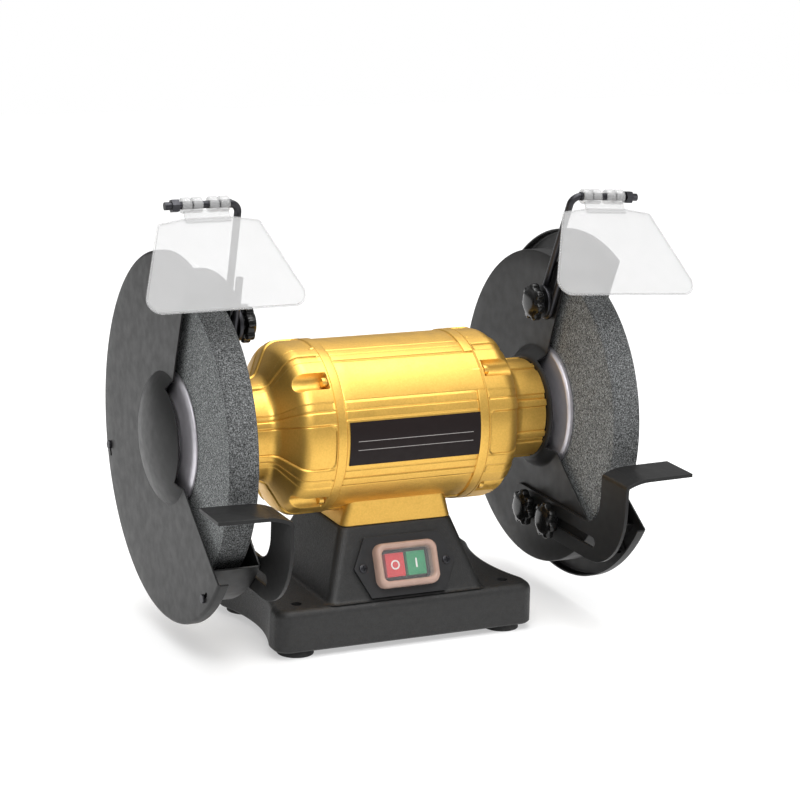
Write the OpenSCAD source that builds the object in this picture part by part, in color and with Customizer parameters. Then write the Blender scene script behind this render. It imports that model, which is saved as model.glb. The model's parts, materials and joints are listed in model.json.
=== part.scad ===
// Bench grinder with two guarded wheels on a cast pedestal.
// X runs along the spindle, -Y is the operator's side and Z is up.
// The origin is on the bench, at the centre of the four foot holes.

/* [Wheels] */
// Outer diameter of a new wheel
wheel_d = 250; // [240:1:250]
// Thickness of a wheel
wheel_w = 25; // [20:1:25]
// Bore of a wheel
wheel_bore = 32; // [28:1:32]
// From the middle of the machine to the inner side of a wheel
wheel_in_x = 159; // [159:0.5:160]
// Outer radius of the flanges that grip a wheel
flange_r = 56; // [50:1:57]

/* [Spindle] */
// Height of the spindle above the bench
spindle_h = 178; // [177:0.5:180]
// Shaft diameter in the bearings
journal_d = 25; // [20:1:25]
// Outer diameter of a bearing
bearing_od = 52; // [47:1:52]
// Thread diameter at the shaft ends
thread_d = 20; // [18:1:20]

/* [Motor] */
// Outer radius of the motor barrel
barrel_r = 73; // [72:0.5:74]
// Half the length of the barrel
barrel_half = 69; // [65:1:70]
// Wall of the barrel and of the end bells
motor_wall = 6; // [5:0.5:7]
// Radius of the bell neck
neck_r = 43.5; // [42:0.5:45]
// From the middle of the machine to the end of the neck
neck_x = 140; // [139:0.5:140]

/* [Guards] */
// Thickness of the guard sheet
sheet = 1.5; // [1:0.1:1.8]
// From the middle of the machine to the motor side of the inner disc
disc_x = 150.5; // [150:0.5:151]
// Outer radius of the inner shell
shell_r = 137; // [134:1:140]
// From the middle of the machine to the outer side of the cover
cover_x = 192.5; // [192:0.5:194]
// Outer radius of the cover
cover_r = 153.5; // [150:0.5:156]
// Depth of the cover's turned-in rim
cover_rim = 9; // [6:1:12]
// Radius of the round middle that stays closed beside the opening
lobe_r = 47.5; // [45:0.5:50]
// Upper edge of the shell opening, in degrees above the front
shell_top = 71; // [68:1:74]
// Lower edge of the shell opening, in degrees
shell_bottom = -36; // [-38:1:-34]
// Upper edges of the left and the right cover opening
cover_top = [72, 66];
// Lower edges of the left and the right cover opening
cover_bottom = [-35, -31.5];

/* [Tool rests] */
// Thickness of the rest plate
rest_t = 3; // [2:0.5:3]
// Height of the slot's centre line above the bench
slot_z = 88.5; // [88:0.5:90]
// Width of the slot
slot_w = 9; // [8.6:0.1:10]
// How far the rest reaches outwards from its arm
rest_reach = 63; // [55:1:64]
// Slope of the rest plate, in degrees
rest_slope = 1; // [0:0.5:3]

/* [Eye shields] */
// Diameter of the shield rod
rod_d = 6; // [5:0.5:6]
// Distance between the legs of the hairpin
leg_gap = 18; // [18:0.5:19]
// Height of the shield's rod above the clamp bolt, along the legs
rod_rise = 102; // [98:1:106]
// Forward lean of the left and the right arm, in degrees
arm_lean = [12.5, 24.5];
// Droop of the left and the right shield rod, in degrees
rod_droop = [0, 4];
// Tilt of an eye shield from the vertical, in degrees
shield_tilt = 39.5; // [36:0.5:42]
// Thickness of an eye shield
shield_t = 2.5; // [2:0.5:3]

/* [Stand] */
// Half the spacing of the foot holes along the spindle
foot_x = 96; // [94:1:98]
// Half the spacing of the foot holes from front to back
foot_y = 57; // [55:1:58]
// Height of a rubber foot
foot_h = 6; // [5:0.5:8]
// Radius of a rubber foot
foot_r = 15.7; // [14:0.1:16]
// Diameter of the bench bolt holes
bench_hole_d = 9; // [8:0.5:10]
// Height of the top of the foot flange
flange_top = 42; // [40:1:43]
// Height of the top of the pedestal
pedestal_top = 100; // [98:1:101]
// Wall of the casting
cast_wall = 6; // [5:0.5:7]

/* [Switch] */
// Width of a push button
button_w = 17; // [15:0.5:17]
// Height of a push button
button_h = 20; // [18:0.5:21]
// Travel of a push button
button_travel = 3; // [2:0.5:3]

/* [Hidden] */
$fn = 64;

LEFT = 0;
RIGHT = 1;
eps = 0.01;
gap = 0.3;              // clearance between pieces that slide or turn on each other
run = 0.05;             // radial clearance of a running fit

wheel_r = wheel_d / 2;
wheel_out_x = wheel_in_x + wheel_w;
blotter_t = 0.5;
flange_face_in = wheel_in_x - blotter_t;
flange_face_out = wheel_out_x + blotter_t;
flange_t = 5;
hub_x = 146;            // shoulder on the shaft for the inner flange
hub_r = 18;
nut_x = flange_face_out + 6;
nut_t = 11;
nut_af = 30;
shaft_end = nut_x + nut_t + 2;
seat_r = 11;            // shaft radius under the flanges

bell_r = barrel_r + 0.5;
bell_slope = 63.4;      // the bell's cone, in degrees from the spindle's normal
shoulder_x = 87;        // where the bell's shoulder starts to round
shoulder_r = 15;
neck_fillet = 9;
bell_x = 116.8;         // where the fillet runs out into the neck
screw_r = barrel_r - 2.8; // radius of the circle of bell screws
pocket_x = barrel_half + 3; // floor of the pocket that a bell screw sits in
bearing_w = 15;
bearing_x = 121;
bearing_play = 0.2;
washer_t = 0.3;
bell_lip = bearing_x + bearing_play + bearing_w + washer_t;
shaft_r = 15;
core_half = 40;
core_r = barrel_r - motor_wall;
rotor_r = 37.5;
air_gap = 0.5;
bell_hole_r = 17;

dome_r = 55;
dome_flat = 44;         // radius of the flat middle of the inner dome
dome_h = disc_x - neck_x; // the inner dome reaches back to the neck
disc_hole_r = 21;
cover_dome_h = 15;
lug_angles = [83, -49, 197];
lug_r = 143.5;

stud_r = 4;
rest_bolts = [-8, -49];
hook_top = 148;
rest_hook_y = [-169, -128]; // front and back of the hook's upright
rest_crease_r = 4;
rest_sweep_r = 50;      // the rest plate rises from the crease and then flattens
rest_rise = 25;         // slope of the rest plate at the crease, in degrees
shield_bolt_y = [-27, -20];
shield_bolt_z = 276;
plate_x = disc_x - gap - rest_t;
knob_r = 16;
knob_t = 13;
knob_lobes = 7;

rod_r = rod_d / 2;
rod_x = disc_x - gap - rod_r;
leg_w = leg_gap / 2;
leg_low = -5;           // centre of the hairpin's bottom turn
leg_top = 45;           // top of the short leg
rod_bend = 8;
rod_start_x = rod_x + rod_bend;
rod_end_x = 204;
clamp_plate_t = 3;
clamp_in_x = rod_x - rod_r - gap;

shield_x = 176;         // middle of the eye shield
shield_low = 94;        // from the rod down to the lower edge
shield_shoulder = 15.5; // from the rod down to the upper corners
shield_roof = 4;        // rise of the upper edge towards the neck
shield_top_half = 43;
shield_low_half = 71.5;
shield_neck_half = 20;
knuckle_r = 6.5;

flange_low = foot_h;
half_len = 119;
half_dep = 76;
waist = 10;
foot_corner = 12;
face_low = [70, 43];    // depth and height of a point on the pedestal's front face
face_high = [45, 100];
face_angle = atan((face_low[0] - face_high[0]) / (face_high[1] - face_low[1]));
pedestal_low_half = 72;
pedestal_high_half = 51.5;
switch_s = 26;          // middle of the switch, up the front face
plate_t = 3;
button_rise = 2.5;      // how far a button stands out of the switch plate
button_back = 7;        // how far it reaches behind the plate
gland_s = 22;
saddle_bolt_x = 36;
saddle_bolt_y = 26;

function lerp(a, b, t) = a + (b - a) * t;
function at_height(low, high, z) =
    lerp(low, high, (z - flange_top) / (pedestal_top - flange_top));
function arc(centre, r, from, to, steps = 8) =
    [for (i = [0:steps]) let (a = lerp(from, to, i / steps)) centre + r * [cos(a), sin(a)]];

// ---- placing helpers ----

// Mirrors to the left side; the children are drawn for the right side.
module on_side(side) {
    if (side == LEFT) mirror([1, 0, 0]) children();
    else children();
}

// Turns a shape drawn about Z so that it lies about the spindle.
module on_spindle() {
    translate([0, 0, spindle_h]) rotate([0, 90, 0]) children();
}

// Revolves an outline of [radius, x] about the spindle.
module revolve() {
    on_spindle() rotate_extrude($fn = 96) children();
}

// Revolves an outline between two angles measured upwards from the front.
module revolve_between(from, to) {
    on_spindle() rotate([0, 0, 270 - to])
        rotate_extrude(angle = to - from, $fn = 96) children();
}

// The V-shaped opening of a guard between two angles, outside the round middle.
module guard_opening(from, to) {
    reach = 2 * cover_r;
    on_spindle() difference() {
        linear_extrude(2 * cover_x)
            polygon(concat([[0, 0]], [for (t = [0:0.25:1]) let (a = lerp(from, to, t))
                reach * [-sin(a), -cos(a)]]));
        translate([0, 0, -1]) cylinder(h = 2 * cover_x + 2, r = lobe_r, $fn = 96);
    }
}

// A point on the right-hand side at a radius and an angle above the front.
module at_polar(x, r, angle) {
    translate([x, -r * cos(angle), spindle_h + r * sin(angle)]) children();
}

// A cylinder along X that starts at x.
module bar_x(x, length, r) {
    translate([x, 0, 0]) rotate([0, 90, 0]) cylinder(h = length, r = r);
}

// The pedestal's front face: X across, Z up the slope and -Y outwards.
module on_face() {
    translate([0, -face_low[0], face_low[1]]) rotate([-face_angle, 0, 0]) children();
}

module rounded_rect(w, h, r) {
    square([w, h - 2 * r], center = true);
    square([w - 2 * r, h], center = true);
    for (x = [-1, 1], y = [-1, 1])
        translate([x * (w / 2 - r), y * (h / 2 - r)]) circle(r = r, $fn = 32);
}

// ---- stand ----

// Plan of the foot flange, with a shallow waist at each end.
module foot_outline(inset) {
    waist_r = (pow(half_dep * 0.72, 2) + pow(waist, 2)) / (2 * waist);
    difference() {
        rounded_rect(2 * (half_len - inset), 2 * (half_dep - inset), foot_corner);
        for (s = [-1, 1])
            translate([s * (half_len - inset - waist + waist_r), 0]) circle(r = waist_r, $fn = 160);
    }
}

// The pedestal as a block that narrows upwards, smaller by inset on each side.
module pedestal_block(inset, z_low, z_high) {
    hull() {
        for (z = [z_low, z_high])
            translate([0, 0, z - (z == z_high ? 0.1 : 0)]) linear_extrude(0.1)
                rounded_rect(
                    2 * (at_height(pedestal_low_half, pedestal_high_half, z) - inset),
                    2 * (at_height(face_low[0] + 0.4, face_high[0], z) - inset),
                    8);
    }
}

module at_feet() {
    for (x = [-1, 1], y = [-1, 1]) translate([x * foot_x, y * foot_y, 0]) children();
}

module at_posts() {
    for (x = [-1, 1], y = [-1, 1]) translate([x * 58, y * 52, 0]) children();
}

module base() {
    color("#26272a") difference() {
        union() {
            difference() {
                union() {
                    translate([0, 0, flange_low])
                        linear_extrude(flange_top - flange_low) foot_outline(0);
                    pedestal_block(0, flange_top, pedestal_top);
                }
                translate([0, 0, flange_low - 1])
                    linear_extrude(flange_top - flange_low - cast_wall + 1) foot_outline(cast_wall);
                pedestal_block(cast_wall, flange_top - cast_wall - 1, pedestal_top - cast_wall);
            }
            at_feet() translate([0, 0, flange_low]) cylinder(h = flange_top - flange_low, r = 14);
            at_posts() translate([0, 0, flange_low + 2.5]) cylinder(h = 54, r = 6);
        }
        at_feet() translate([0, 0, flange_low - 1])
            cylinder(h = flange_top, d = bench_hole_d);
        at_posts() translate([0, 0, flange_low]) cylinder(h = 15, r = 2);
        on_face() translate([-25, -10, switch_s - 18.5]) cube([50, 30, 37]);
        on_face() for (x = [-1, 1]) translate([x * 38.5, -1, switch_s])
            rotate([-90, 0, 0]) cylinder(h = 9, r = 2);
        rotate([0, 0, 180]) on_face() translate([0, -10, gland_s])
            rotate([-90, 0, 0]) cylinder(h = 25, r = 8);
        for (x = [-1, 1], y = [-1, 1]) translate([x * saddle_bolt_x, y * saddle_bolt_y, 80])
            cylinder(h = 30, r = 4);
        translate([0, 0, 80]) cylinder(h = 30, r = 10);
    }
}

module base_plate() {
    color("#3a3b3e") difference() {
        translate([0, 0, flange_low + 1]) linear_extrude(sheet) difference() {
            foot_outline(cast_wall + 1);
            for (x = [-1, 1], y = [-1, 1]) translate([x * foot_x, y * foot_y]) circle(r = 15.5);
        }
        at_posts() translate([0, 0, 0]) cylinder(h = 20, r = 2.2);
    }
}

module base_plate_screws() {
    color("#8d9094") at_posts() {
        translate([0, 0, flange_low - 1.2]) cylinder(h = 2.2, r = 4);
        translate([0, 0, flange_low]) cylinder(h = 14, r = 2);
    }
}

module rubber_feet() {
    color("#151515") at_feet() difference() {
        cylinder(h = foot_h, r1 = foot_r, r2 = foot_r - 1.2);
        translate([0, 0, -1]) cylinder(h = foot_h + 2, d = bench_hole_d);
    }
}

module terminal_block() {
    block_z = flange_low + 1 + sheet;
    color("#e8e2cf") difference() {
        translate([-30, 18, block_z]) cube([60, 18, 16]);
        for (i = [-2:2]) translate([i * 11, 27, block_z + 8]) cylinder(h = 10, r = 3.2);
    }
}

module cable_gland() {
    color("#1b1b1d") rotate([0, 0, 180]) on_face() translate([0, 0, gland_s])
        rotate([90, 0, 0]) difference() {
            union() {
                cylinder(h = 6, r = 12.7, $fn = 6);
                translate([0, 0, 6]) cylinder(h = 9, r = 10);
                translate([0, 0, -12]) cylinder(h = 12, r = 8);
            }
            translate([0, 0, -13]) cylinder(h = 30, r = 4.5);
        }
}

// ---- switch ----

module switch_plate() {
    hexagon = [[-46.5, 0], [-34, 25.5], [34, 25.5], [46.5, 0], [34, -25.5], [-34, -25.5]];
    color("#1c1c1e") on_face() translate([0, 0, switch_s]) rotate([90, 0, 0]) difference() {
        linear_extrude(plate_t) difference() {
            polygon(hexagon);
            square([42, 27], center = true);
        }
        for (x = [-1, 1]) translate([x * 38.5, 0, -1]) cylinder(h = 6, r = 2);
    }
}

module switch_body() {
    well_w = button_w + 2 * gap;
    well_h = button_h + 2 * gap;
    color("#2b2b2e") on_face() translate([0, 0, switch_s]) difference() {
        translate([-24, 0, -17.5]) cube([48, 38, 35]);
        for (x = [-10, 9.5])
            translate([x - well_w / 2, -1, -well_h / 2])
                cube([well_w, button_back + button_travel + 2, well_h]);
    }
}

module switch_button(x, tint) {
    front = plate_t + button_rise;
    color(tint) on_face() translate([x - button_w / 2, -front, switch_s - button_h / 2])
        cube([button_w, front + button_back, button_h]);
}

module button_off() { switch_button(-10, "#c8202c"); }

module button_on() { switch_button(9.5, "#128a4e"); }

module switch_cover() {
    color("#d9b8a4", 0.5) on_face() translate([0, -plate_t, switch_s]) rotate([90, 0, 0])
        difference() {
            linear_extrude(9) rounded_rect(57, 38, 8);
            translate([0, 0, -1]) linear_extrude(8.5) rounded_rect(46, 28, 4);
        }
}

module switch_screws() {
    color("#222224") on_face() for (x = [-1, 1])
        translate([x * 38.5, -plate_t, switch_s]) rotate([90, 0, 0]) {
            cylinder(h = 1.6, r = 3.6);
            translate([0, 0, -8]) cylinder(h = 8, r = 2);
        }
}

// ---- motor ----

module motor_housing() {
    saddle_half = 46;
    color("#d9a236") difference() {
        union() {
            on_spindle() translate([0, 0, -barrel_half])
                cylinder(h = 2 * barrel_half, r = barrel_r, $fn = 96);
            hull() {
                translate([0, 0, pedestal_top]) linear_extrude(0.1) rounded_rect(102, 90, 6);
                translate([0, 0, 128]) linear_extrude(0.1)
                    rounded_rect(2 * saddle_half - 8, 88, 6);
            }
        }
        on_spindle() translate([0, 0, -100]) cylinder(h = 200, r = core_r, $fn = 96);
        for (x = [-1, 1], y = [-1, 1]) translate([x * saddle_bolt_x, y * saddle_bolt_y, 95])
            cylinder(h = 13, r = 3.4);
        translate([0, 0, 95]) cylinder(h = 30, r = 8);
        for (s = [-1, 1], a = [45:90:315]) at_polar(s * barrel_half, screw_r, a)
            rotate([0, 90, 0]) translate([0, 0, -8]) cylinder(h = 16, r = 2);
    }
}

// Outline of an end bell: a short cup, a rounded shoulder, a cone and a neck.
module bell_profile() {
    shoulder = [bell_r - shoulder_r, shoulder_x];
    fillet = [neck_r + neck_fillet, bell_x];
    inner_r = bell_r - motor_wall;
    seat_x = bearing_x - 4;
    hub_wall = 10.5;
    polygon(concat(
        [[core_r, barrel_half], [bell_r, barrel_half]],
        arc(shoulder, shoulder_r, 0, bell_slope),
        arc(fillet, neck_fillet, 180 + bell_slope, 180, 6),
        [[neck_r, neck_x], [bell_hole_r, neck_x], [bell_hole_r, bell_lip], [bearing_od / 2, bell_lip],
         [bearing_od / 2, seat_x], [neck_r - hub_wall, seat_x], [neck_r - hub_wall, seat_x - 5],
         [neck_r - hub_wall + 3.6, seat_x - 9]],
        arc(shoulder, shoulder_r - motor_wall, bell_slope, 0),
        [[inner_r, barrel_half + 4], [core_r, barrel_half + 4]]));
}

module end_bell(side) {
    boss_r = 11;
    pocket_r = 8;
    color("#d9a236") on_side(side) difference() {
        union() {
            revolve() bell_profile();
            for (a = [45:90:315]) at_polar(barrel_half + 0.2, 60, a) bar_x(0, 25.8, boss_r);
        }
        for (a = [45:90:315]) {
            at_polar(pocket_x, bell_r + 0.5, a) bar_x(0, 34, pocket_r);
            at_polar(barrel_half - 1, screw_r, a) bar_x(0, 12, 2.3);
        }
        for (a = [45:90:315]) at_polar(neck_x - 12, 33, a) bar_x(0, 14, 2.5);
    }
}

module bell_screws() {
    color("#b98a3c") for (side = [LEFT, RIGHT]) on_side(side)
        for (a = [45:90:315]) at_polar(0, screw_r, a) {
            bar_x(pocket_x, 4, 4);
            bar_x(barrel_half - 7, 10, 2);
        }
}

module saddle_bolts() {
    color("#8d9094") for (x = [-1, 1], y = [-1, 1])
        translate([x * saddle_bolt_x, y * saddle_bolt_y, 0]) {
            translate([0, 0, pedestal_top - cast_wall - 5.5]) cylinder(h = 5.5, r = 6.3, $fn = 6);
            translate([0, 0, pedestal_top - cast_wall]) cylinder(h = cast_wall + 7, r = 3.4);
        }
}

module name_plate() {
    color("#241a17") revolve_between(-13.5, 15.5)
        translate([barrel_r, -58]) square([0.5, 120]);
}

module stator_core() {
    bore = rotor_r + air_gap;
    color("#7c7f84") on_spindle() translate([0, 0, -core_half]) difference() {
        cylinder(h = 2 * core_half, r = core_r, $fn = 96);
        translate([0, 0, -1]) cylinder(h = 2 * core_half + 2, r = bore, $fn = 96);
        for (i = [0:23]) rotate([0, 0, i * 15])
            translate([bore + 2, -2.2, -1]) cube([14, 4.4, 2 * core_half + 2]);
    }
}

module stator_windings() {
    color("#b5652b") for (side = [LEFT, RIGHT]) on_side(side) on_spindle()
        translate([0, 0, core_half]) rotate_extrude($fn = 96)
            polygon([[42, 0], [58, 0], [62, 4], [62, 12], [57, 17], [46, 17], [42, 13]]);
}

module rotor() {
    color("#9a9ca0") on_spindle() translate([0, 0, -core_half - 6]) difference() {
        cylinder(h = 2 * core_half + 12, r = rotor_r, $fn = 96);
        translate([0, 0, -1]) cylinder(h = 2 * core_half + 14, r = shaft_r);
    }
}

module shaft() {
    journal_r = journal_d / 2 - run;
    color("#b9bcc1") on_spindle() {
        translate([0, 0, -bearing_x]) cylinder(h = 2 * bearing_x, r = shaft_r);
        for (s = [0, 1]) mirror([0, 0, s]) {
            translate([0, 0, bearing_x - eps]) cylinder(h = hub_x - bearing_x + eps, r = journal_r);
            translate([0, 0, hub_x - eps]) cylinder(h = flange_face_out + 1 - hub_x, r = seat_r);
            translate([0, 0, flange_face_out]) cylinder(h = shaft_end - flange_face_out, r = thread_d / 2);
        }
    }
}

// A sealed ball bearing: the shields sit a little below the faces of the rings.
module bearing(side) {
    bore_r = journal_d / 2;
    out_r = bearing_od / 2;
    color("#c9ccd0") on_side(side) on_spindle() translate([0, 0, bearing_x + bearing_play])
        difference() {
            cylinder(h = bearing_w, r = out_r);
            translate([0, 0, -1]) cylinder(h = bearing_w + 2, r = bore_r);
            for (z = [-1, bearing_w - 0.8]) translate([0, 0, z]) difference() {
                cylinder(h = 1.8, r = out_r - 3.5);
                translate([0, 0, -1]) cylinder(h = 4, r = bore_r + 3);
            }
        }
}

module wave_washer() {
    color("#9fa3a8") on_spindle() translate([0, 0, -bell_lip]) difference() {
        cylinder(h = washer_t, r = bearing_od / 2 - 0.3);
        translate([0, 0, -1]) cylinder(h = 3, r = 21.5);
    }
}

// ---- wheels ----

module wheel(side) {
    chamfer = 1.5;
    bore_r = wheel_bore / 2;
    color("#7b7f84") on_side(side) revolve() polygon([
        [bore_r, wheel_in_x], [wheel_r - chamfer, wheel_in_x], [wheel_r, wheel_in_x + chamfer],
        [wheel_r, wheel_out_x - chamfer], [wheel_r - chamfer, wheel_out_x], [bore_r, wheel_out_x]]);
}

module inner_flange(side) {
    spigot_r = wheel_bore / 2 - run;
    back = flange_face_in - flange_t;
    color("#c2c0cf") on_side(side) revolve() polygon([
        [seat_r, hub_x], [hub_r, hub_x], [hub_r, back], [flange_r - 2, back], [flange_r, back + 2],
        [flange_r, flange_face_in], [flange_r - 12, flange_face_in], [flange_r - 13, flange_face_in - 1],
        [spigot_r, flange_face_in - 1], [spigot_r, wheel_out_x - 3], [seat_r, wheel_out_x - 3]]);
}

module outer_flange(side) {
    bore_r = seat_r;
    color("#c2c0cf") on_side(side) revolve() polygon([
        [bore_r, flange_face_out + 1], [flange_r - 13, flange_face_out + 1],
        [flange_r - 12, flange_face_out], [flange_r, flange_face_out], [flange_r, flange_face_out + 1.5],
        [flange_r - 2, flange_face_out + 3], [flange_r - 14, flange_face_out + 4],
        [flange_r - 20, nut_x], [thread_d / 2, nut_x], [thread_d / 2, flange_face_out + 1.2],
        [bore_r, flange_face_out + 1.2]]);
}

module blotters() {
    color("#d8d2c0") for (side = [LEFT, RIGHT]) on_side(side)
        for (x = [flange_face_in, wheel_out_x]) revolve()
            translate([wheel_bore / 2 + 0.5, x]) square([flange_r - wheel_bore / 2 - 2.5, blotter_t]);
}

module arbor_nut(side) {
    color("#8f9297") on_side(side) on_spindle() translate([0, 0, nut_x]) difference() {
        cylinder(h = nut_t, r = nut_af / 2 / cos(30), $fn = 6);
        translate([0, 0, -1]) cylinder(h = nut_t + 2, d = thread_d);
    }
}

// ---- guards ----

// Motor side of the inner disc: flat, with a shallow dome that reaches back to the neck.
function inner_face(r) =
    disc_x - dome_h * (1 + cos(180 * min(max(r - dome_flat, 0) / (dome_r - dome_flat), 1))) / 2;

// Points on the inner disc's motor side at some radii, moved out by depth.
function inner_points(radii, depth) = [for (r = radii) [r, inner_face(r) + depth]];

module shell_profile() {
    out = concat([disc_hole_r], [for (t = [0:0.25:1]) lerp(dome_flat, dome_r, t)]);
    back = [for (i = [len(out) - 1:-1:0]) out[i]];
    rim_x = cover_x - sheet;
    polygon(concat(inner_points(out, 0),
        [[shell_r, disc_x], [shell_r, rim_x], [shell_r - sheet, rim_x], [shell_r - sheet, disc_x + sheet]],
        inner_points(back, sheet)));
}

module guard_shell(side) {
    lug_len = lug_r + 6 - shell_r + 1;
    color("#2f3133") on_side(side) difference() {
        union() {
            difference() {
                revolve() shell_profile();
                guard_opening(shell_bottom, shell_top);
            }
            for (a = lug_angles) at_polar(0, 0, a) rotate([-a, 0, 0])
                translate([cover_x - 2 * sheet, -lug_r - 6, -8]) cube([sheet, lug_len, 16]);
        }
        for (a = [45:90:315]) at_polar(neck_x - 1, 33, a) bar_x(0, 4, 2.7);
        for (y = rest_bolts) translate([disc_x - 1, y, slot_z]) bar_x(0, 4, stud_r + 0.2);
        translate([disc_x - 1, shield_bolt_y[side], shield_bolt_z]) bar_x(0, 4, stud_r + 0.2);
        for (a = lug_angles) at_polar(cover_x - 4 * sheet, lug_r, a) bar_x(0, 6 * sheet, 2.2);
    }
}

// Outer side of the cover: flat, with a round dome in the middle.
function cover_face(r) = cover_x + cover_dome_h * pow(1 - pow(min(r / dome_r, 1), 2), 1.5);

// Points on the cover's outer side at some radii, moved in by depth.
function cover_points(radii, depth) = [for (r = radii) [r, cover_face(r) - depth]];

module cover_profile() {
    out = [for (i = [0:8]) dome_r * i / 8];
    back = [for (i = [8:-1:0]) dome_r * i / 8];
    bend = 3;
    bend_in = bend + 0.4 * sheet;
    polygon(concat(cover_points(out, 0),
        [[cover_r - bend, cover_x], [cover_r, cover_x - bend], [cover_r, cover_x - cover_rim],
         [cover_r - sheet, cover_x - cover_rim], [cover_r - sheet, cover_x - bend_in],
         [cover_r - bend_in, cover_x - sheet]],
        cover_points(back, sheet)));
}

module guard_cover(side) {
    color("#2f3133") on_side(side) difference() {
        revolve() cover_profile();
        guard_opening(cover_bottom[side], cover_top[side]);
        for (a = lug_angles) at_polar(cover_x - 3 * sheet, lug_r, a) {
            bar_x(0, 6 * sheet, 2.2);
            rotate([-a, 0, 0]) translate([0, 0, -2.2]) cube([6 * sheet, 9, 4.4]);
            rotate([-a, 0, 0]) translate([0, 9, 0]) bar_x(0, 6 * sheet, 4);
        }
    }
}

module cover_screws(side) {
    color("#4a4c4f") on_side(side) for (a = lug_angles) at_polar(0, lug_r, a) {
        bar_x(cover_x, 2, 3.6);
        bar_x(cover_x - 8, 8, 2.2);
    }
}

module guard_screws() {
    color("#8d9094") for (side = [LEFT, RIGHT]) on_side(side)
        for (a = [45:90:315]) at_polar(0, 33, a) {
            bar_x(neck_x + sheet, 3, 4.3);
            bar_x(neck_x - 10, 10 + sheet, 2.5);
        }
}

// A carriage bolt through the inner disc that ends inside a star knob.
module guard_stud(y, z, tip_x) {
    translate([0, y, z]) {
        bar_x(disc_x + sheet, 2.5, 8);
        bar_x(tip_x, disc_x + sheet - tip_x, stud_r);
    }
}

module guard_studs(side) {
    color("#5a5c60") on_side(side) {
        for (y = rest_bolts) guard_stud(y, slot_z, plate_x - 9);
        guard_stud(shield_bolt_y[side], shield_bolt_z, clamp_in_x - clamp_plate_t - 9);
    }
}

// ---- tool rests ----

// The arm seen along the spindle: a slotted bar that turns up into a hook.
module rest_outline() {
    bar_low = slot_z - 17;
    bar_high = slot_z + 15.5;
    rear = 21;
    corner = 8;
    outer_r = 57;
    inner_r = 24;
    slot_ends = [-118, 7.5];
    difference() {
        polygon(concat(
            arc([rear - corner, bar_low + corner], corner, -90, 0),
            arc([rear - corner, bar_high - corner], corner, 0, 90),
            arc([rest_hook_y[1] + inner_r, bar_high + inner_r], inner_r, 270, 180, 12),
            [[rest_hook_y[1], hook_top], [rest_hook_y[0], hook_top]],
            arc([rest_hook_y[0] + outer_r, bar_low + outer_r], outer_r, 180, 270, 20)));
        translate([slot_ends[0], slot_z - slot_w / 2]) square([slot_ends[1] - slot_ends[0], slot_w]);
        for (y = slot_ends) translate([y, slot_z]) circle(d = slot_w);
    }
}

// The bent-over top of the arm, as a section across the spindle direction.
module rest_top_profile() {
    rise = 90 + rest_rise;
    level = 90 + rest_slope;
    step = (rise - level) / 10;
    crease = [plate_x + rest_crease_r, hook_top];
    sweep = crease - (rest_sweep_r - rest_crease_r) * [cos(rise), sin(rise)];
    edge = sweep + rest_sweep_r * [cos(level), sin(level)];
    tip = edge + (rest_reach + plate_x - edge[0]) * [sin(level), -cos(level)];
    polygon(concat(
        [[plate_x + rest_t, hook_top - 1], [plate_x, hook_top - 1]],
        arc(crease, rest_crease_r, 180, rise, 6),
        arc(sweep, rest_sweep_r, rise - step, level, 9),
        [tip, tip - rest_t * [cos(level), sin(level)]],
        arc(sweep, rest_sweep_r - rest_t, level, rise - step, 9),
        arc(crease, rest_crease_r - rest_t, rise, 180, 6)));
}

module tool_rest(side) {
    color("#333437") on_side(side) {
        translate([plate_x, 0, 0]) rotate([90, 0, 90]) linear_extrude(rest_t) rest_outline();
        translate([0, rest_hook_y[1], 0]) rotate([90, 0, 0])
            linear_extrude(rest_hook_y[1] - rest_hook_y[0]) rest_top_profile();
    }
}

// ---- star knobs ----

// A star knob drawn with its open end at the origin and its cap towards -X.
module star_knob() {
    rotate([0, -90, 0]) difference() {
        union() {
            cylinder(h = 3, r = 9);
            translate([0, 0, 3]) cylinder(h = knob_t - 5, r = knob_r);
            translate([0, 0, knob_t - 2]) cylinder(h = 2.5, r1 = knob_r - 2, r2 = knob_r - 6);
        }
        for (i = [0:knob_lobes - 1]) rotate([0, 0, i * 360 / knob_lobes])
            translate([knob_r + 2.2, 0, 2]) cylinder(h = knob_t - 4.01, r = 4.6);
        translate([0, 0, -1]) cylinder(h = 11, r = stud_r + run);
    }
}

module rest_knob(side, y) {
    color("#1d1d1f") on_side(side) translate([plate_x - gap, y, slot_z]) star_knob();
}

module shield_knob(side) {
    color("#1d1d1f") on_side(side)
        translate([clamp_in_x - clamp_plate_t - gap, shield_bolt_y[side], shield_bolt_z]) star_knob();
}

// ---- eye shields ----

// The clamp's frame: Z up along the legs, -Y towards the front leg.
module on_arm(side) {
    on_side(side) translate([0, shield_bolt_y[side], shield_bolt_z])
        rotate([arm_lean[side], 0, 0]) children();
}

module shield_arm(side) {
    color("#1b1c1e") {
        on_arm(side) {
            translate([rod_x, 0, leg_low]) rotate([90, 0, 90]) rotate([0, 0, 180])
                rotate_extrude(angle = 180) translate([leg_w, 0]) circle(r = rod_r, $fn = 32);
            translate([rod_x, leg_w, leg_low]) cylinder(h = rod_rise - rod_bend - leg_low, r = rod_r);
            translate([rod_x, -leg_w, leg_low]) cylinder(h = leg_top - leg_low, r = rod_r);
            translate([rod_start_x, leg_w, rod_rise - rod_bend]) mirror([1, 0, 0])
                rotate([90, 0, 0]) rotate_extrude(angle = 90 + rod_droop[side])
                    translate([rod_bend, 0]) circle(r = rod_r, $fn = 32);
        }
        on_hinge(side) {
            bar_x(rod_start_x - 1.5, 2.5, rod_r + 0.6);
            bar_x(rod_start_x + 0.5, rod_end_x - rod_start_x - 0.5, rod_r);
        }
    }
}

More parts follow.
